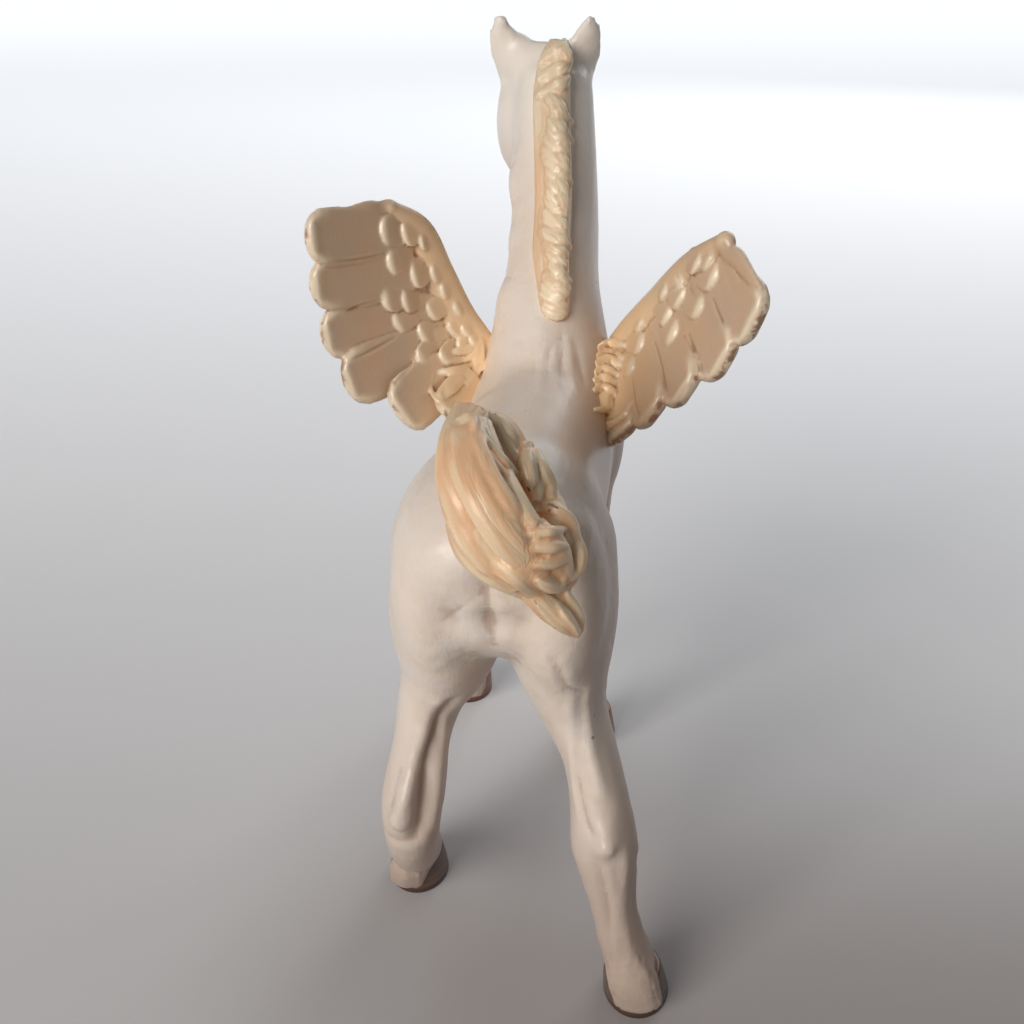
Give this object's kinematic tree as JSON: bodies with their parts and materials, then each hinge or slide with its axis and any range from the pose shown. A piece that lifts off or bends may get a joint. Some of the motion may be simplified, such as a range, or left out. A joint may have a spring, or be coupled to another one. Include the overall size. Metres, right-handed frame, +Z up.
{
  "type": "pegasus figurine",
  "caption": "Small moulded figurine of a standing winged foal with raised wings, a carved mane, a curled lifted tail and four flat hooves.",
  "frame": {"origin": "on the floor, under the middle of the figurine's bounding box", "axes": "+Z up, +Y the way the foal faces, +X the foal's right-hand side"},
  "size_m": [0.0414, 0.0772, 0.0819],
  "materials": {
    "pearl_white": "soft vinyl with satin pearl paint",
    "hair_gold": "peach and pale gold pearl paint, worn on the ridges",
    "wing_tan": "tan pearl paint, pale feather edges, chipped dark rims",
    "hoof_brown": "copper brown satin paint",
    "eye_dark": "glossy dark paint"
  },
  "bodies": {
    "root": {"pegasus_figurine": "pearl_white"}
  },
  "joints": []
}
